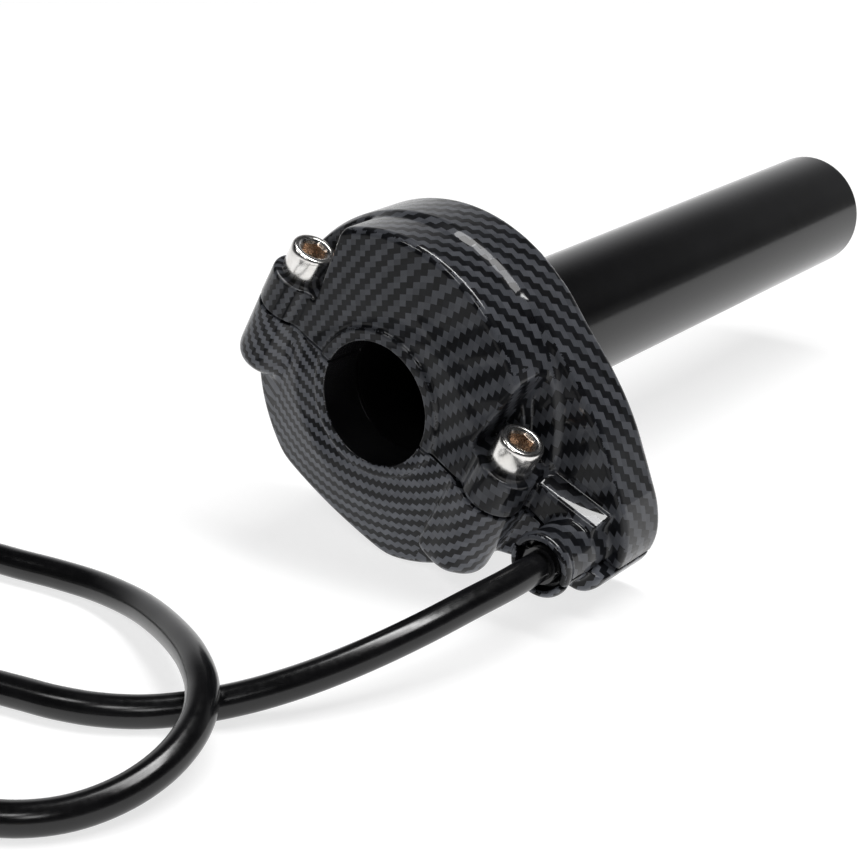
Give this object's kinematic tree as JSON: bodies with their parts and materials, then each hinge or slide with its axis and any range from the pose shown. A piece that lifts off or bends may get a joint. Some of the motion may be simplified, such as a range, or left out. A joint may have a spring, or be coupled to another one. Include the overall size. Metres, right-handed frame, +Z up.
{
  "type": "motorcycle throttle grip housing",
  "caption": "Split twist-throttle housing clamped by two socket screws, with a turning throttle tube and its control cable.",
  "frame": {"origin": "centre of the handlebar bore on the housing's inboard face", "axes": "+X runs outboard along the handlebar to the tube's free end, +Z is up, and the cable leaves on the -Y side heading -X"},
  "size_m": [0.3213, 0.1243, 0.063],
  "materials": {
    "housing": "carbon weave under clear gloss",
    "tube_plastic": "semi-gloss",
    "steel": "polished stainless",
    "brass": "turned",
    "plated": "zinc plated",
    "sheath": "gloss black jacket",
    "rubber": "matt",
    "washer": "natural nylon"
  },
  "bodies": {
    "housing": {"upper_housing": "housing", "lower_housing": "housing", "clamp_screws": "steel", "screw_inserts": "brass", "thrust_washer": "washer", "guide_elbow": "plated", "inner_wire_lead": "plated", "cable_ferrule": "tube_plastic", "throttle_cable": "sheath", "cable_coil": "sheath", "coil_tie": "tube_plastic", "cable_far_end": "sheath", "end_ferrule": "plated", "adjuster_boot": "rubber", "adjuster_barrel": "plated", "adjuster_locknut": "plated"},
    "throttle": {"throttle_tube": "tube_plastic", "wire_drum": "tube_plastic", "drum_wire": "plated", "drum_nipple": "brass"},
    "inner_wire": {"inner_wire_end": "plated", "carb_nipple": "brass"}
  },
  "joints": [
    {"name": "throttle_turn", "type": "hinge", "parent": "housing", "child": "throttle", "pos_m": [0, 0, 0], "axis": [1, 0, 0], "range_deg": [0, 80]},
    {"name": "wire_pull", "type": "slide", "parent": "housing", "child": "inner_wire", "axis": [0, 1, 0], "range_m": [0, 0.028]}
  ],
  "couplings": [
    {"joint": "wire_pull", "follows": "throttle_turn", "m_per_rad": 0.02}
  ]
}
